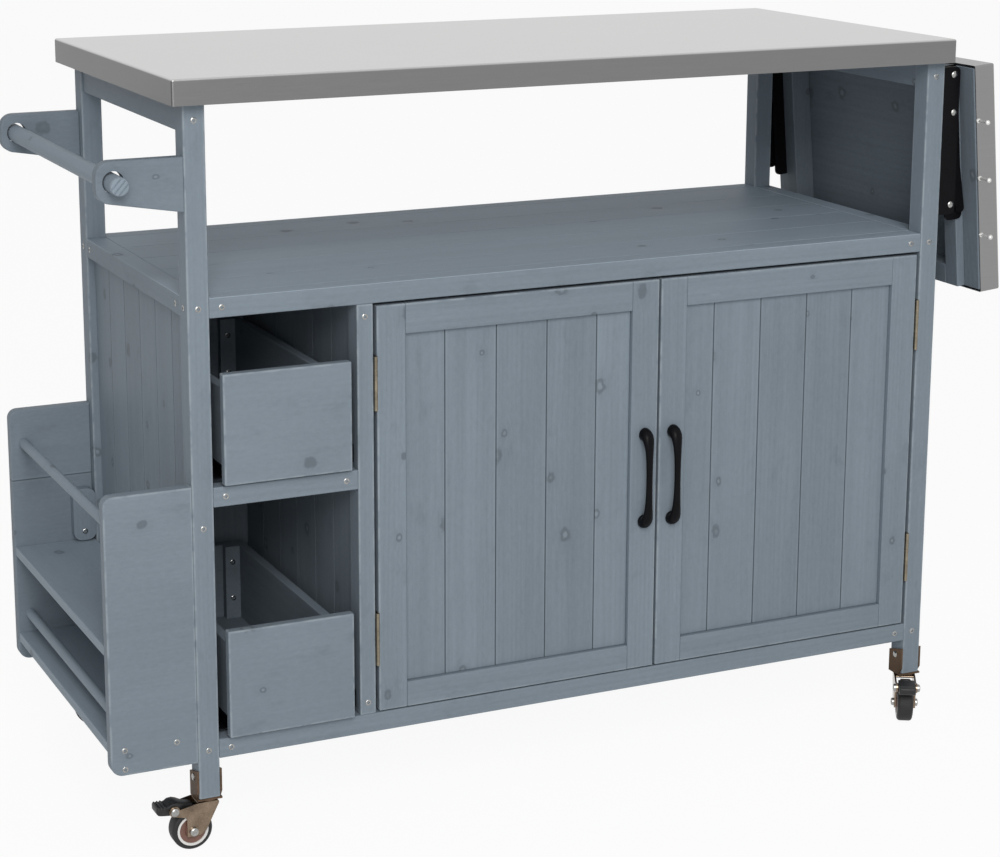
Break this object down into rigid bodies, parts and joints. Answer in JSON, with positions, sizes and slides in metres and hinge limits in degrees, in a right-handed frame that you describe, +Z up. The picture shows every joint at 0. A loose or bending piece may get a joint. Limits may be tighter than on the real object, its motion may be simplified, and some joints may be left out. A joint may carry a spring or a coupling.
{
  "type": "outdoor bar cart",
  "caption": "Wooden serving cart on casters with a steel worktop, open shelf, drawers, double-door cupboard, side rack, towel bar and a fold-up side leaf.",
  "frame": {"origin": "middle of the footprint on the floor, between the casters", "axes": "+X along the cart towards the drop leaf, +Y towards the back, +Z up"},
  "size_m": [1.2135, 0.5146, 0.92],
  "materials": {
    "painted_fir": "grey-blue stain over planed fir, satin",
    "steel_top": "brushed along its length",
    "black_steel": "black satin paint",
    "hinge_brass": "dull brass plating",
    "chrome": "bright plating",
    "zinc": "zinc plating",
    "catch_plastic": "grey moulding",
    "wheel_rubber": "black tread round a brown hub",
    "pedal_plastic": "black moulding"
  },
  "bodies": {
    "cabinet": {"post_front_left": "painted_fir", "post_front_right": "painted_fir", "post_rear_left": "painted_fir", "post_rear_right": "painted_fir", "worktop_steel": "steel_top", "worktop_core": "painted_fir", "top_rails": "painted_fir", "shelf_rails": "painted_fir", "base_rails": "painted_fir", "shelf_boards": "painted_fir", "floor_boards": "painted_fir", "side_boards_left": "painted_fir", "side_boards_right": "painted_fir", "back_boards": "painted_fir", "divider_boards": "painted_fir", "divider_stile": "painted_fir", "drawer_bay_rail": "painted_fir", "drawer_slides": "black_steel", "door_hinge_plates": "hinge_brass", "door_catches": "catch_plastic", "frame_screws": "zinc", "towel_brackets": "painted_fir", "rack_ends": "painted_fir", "rack_shelves": "painted_fir", "rack_rods": "painted_fir", "rack_blocks": "painted_fir", "leaf_wall_arms": "black_steel", "caster_saddles": "chrome"},
    "door_left": {"door_left_frame": "painted_fir", "door_left_boards": "painted_fir", "door_left_handle": "black_steel", "door_left_hinges": "hinge_brass"},
    "door_right": {"door_right_frame": "painted_fir", "door_right_boards": "painted_fir", "door_right_handle": "black_steel", "door_right_hinges": "hinge_brass"},
    "drawer_upper": {"drawer_upper_front": "painted_fir", "drawer_upper_box": "painted_fir", "drawer_upper_runners": "black_steel"},
    "drawer_lower": {"drawer_lower_front": "painted_fir", "drawer_lower_box": "painted_fir", "drawer_lower_runners": "black_steel"},
    "towel_bar": {"towel_bar": "painted_fir"},
    "leaf": {"leaf_steel": "steel_top", "leaf_frame": "painted_fir", "leaf_arms": "black_steel", "leaf_hooks": "chrome"},
    "strut_lower": {"strut_lower_links": "black_steel"},
    "strut_upper": {"strut_upper_links": "black_steel"},
    "caster_front_left": {"caster_fork_front_left": "chrome"},
    "wheel_front_left": {"caster_wheel_front_left": "wheel_rubber"},
    "brake_front_left": {"brake_pedal_front_left": "pedal_plastic"},
    "caster_front_right": {"caster_fork_front_right": "chrome"},
    "wheel_front_right": {"caster_wheel_front_right": "wheel_rubber"},
    "brake_front_right": {"brake_pedal_front_right": "pedal_plastic"},
    "caster_rear_left": {"caster_fork_rear_left": "chrome"},
    "wheel_rear_left": {"caster_wheel_rear_left": "wheel_rubber"},
    "caster_rear_right": {"caster_fork_rear_right": "chrome"},
    "wheel_rear_right": {"caster_wheel_rear_right": "wheel_rubber"}
  },
  "joints": [
    {"name": "door_left_swing", "type": "hinge", "parent": "cabinet", "child": "door_left", "pos_m": [-0.2721, -0.20918, 0.38875], "axis": [0, 0, -1], "range_deg": [0, 95]},
    {"name": "door_right_swing", "type": "hinge", "parent": "cabinet", "child": "door_right", "pos_m": [0.4909, -0.20918, 0.38875], "axis": [0, 0, 1], "range_deg": [0, 95]},
    {"name": "drawer_upper_slide", "type": "slide", "parent": "cabinet", "child": "drawer_upper", "axis": [0, -1, 0], "range_m": [-0.01, 0.25]},
    {"name": "drawer_lower_slide", "type": "slide", "parent": "cabinet", "child": "drawer_lower", "axis": [0, -1, 0], "range_m": [-0.01, 0.25]},
    {"name": "towel_bar_spin", "type": "hinge", "parent": "cabinet", "child": "towel_bar", "pos_m": [-0.58186, 0.01232, 0.8061], "axis": [0, 1, 0], "continuous": true},
    {"name": "leaf_fold", "type": "hinge", "parent": "cabinet", "child": "leaf", "pos_m": [0.53414, 0.01232, 0.8722], "axis": [0, -1, 0], "range_deg": [0, 85]},
    {"name": "strut_lower_turn", "type": "hinge", "parent": "cabinet", "child": "strut_lower", "pos_m": [0.53714, 0.01232, 0.703], "axis": [0, 1, 0], "range_deg": [0, 44.77]},
    {"name": "strut_upper_turn", "type": "hinge", "parent": "leaf", "child": "strut_upper", "pos_m": [0.55788, 0.01232, 0.6961], "axis": [0, -1, 0], "range_deg": [0, 41.02]},
    {"name": "caster_front_left_swivel", "type": "hinge", "parent": "cabinet", "child": "caster_front_left", "pos_m": [-0.48785, -0.19368, 0.05], "axis": [0, 0, 1], "continuous": true},
    {"name": "wheel_front_left_roll", "type": "hinge", "parent": "caster_front_left", "child": "wheel_front_left", "pos_m": [-0.50885, -0.19368, 0.025], "axis": [0, -1, 0], "continuous": true},
    {"name": "brake_front_left_press", "type": "hinge", "parent": "caster_front_left", "child": "brake_front_left", "pos_m": [-0.53188, -0.19368, 0.05384], "axis": [0, 1, 0], "range_deg": [0, 9]},
    {"name": "caster_front_right_swivel", "type": "hinge", "parent": "cabinet", "child": "caster_front_right", "pos_m": [0.50614, -0.19368, 0.05], "axis": [0, 0, 1], "continuous": true},
    {"name": "wheel_front_right_roll", "type": "hinge", "parent": "caster_front_right", "child": "wheel_front_right", "pos_m": [0.49565, -0.21187, 0.025], "axis": [0.866, -0.5, 0], "continuous": true},
    {"name": "brake_front_right_press", "type": "hinge", "parent": "caster_front_right", "child": "brake_front_right", "pos_m": [0.48413, -0.2318, 0.05384], "axis": [-0.866, 0.5, 0], "range_deg": [0, 9]},
    {"name": "caster_rear_left_swivel", "type": "hinge", "parent": "cabinet", "child": "caster_rear_left", "pos_m": [-0.48785, 0.21832, 0.05], "axis": [0, 0, 1], "continuous": true},
    {"name": "wheel_rear_left_roll", "type": "hinge", "parent": "caster_rear_left", "child": "wheel_rear_left", "pos_m": [-0.50604, 0.22882, 0.025], "axis": [-0.5, -0.866, 0], "continuous": true},
    {"name": "caster_rear_right_swivel", "type": "hinge", "parent": "cabinet", "child": "caster_rear_right", "pos_m": [0.50614, 0.21832, 0.05], "axis": [0, 0, 1], "continuous": true},
    {"name": "wheel_rear_right_roll", "type": "hinge", "parent": "caster_rear_right", "child": "wheel_rear_right", "pos_m": [0.48711, 0.20945, 0.025], "axis": [0.4226, -0.9063, 0], "continuous": true}
  ],
  "couplings": [
    {"joint": "strut_lower_turn", "follows": "leaf_fold", "ratio": 0.52647},
    {"joint": "strut_upper_turn", "follows": "leaf_fold", "ratio": 0.48231}
  ]
}
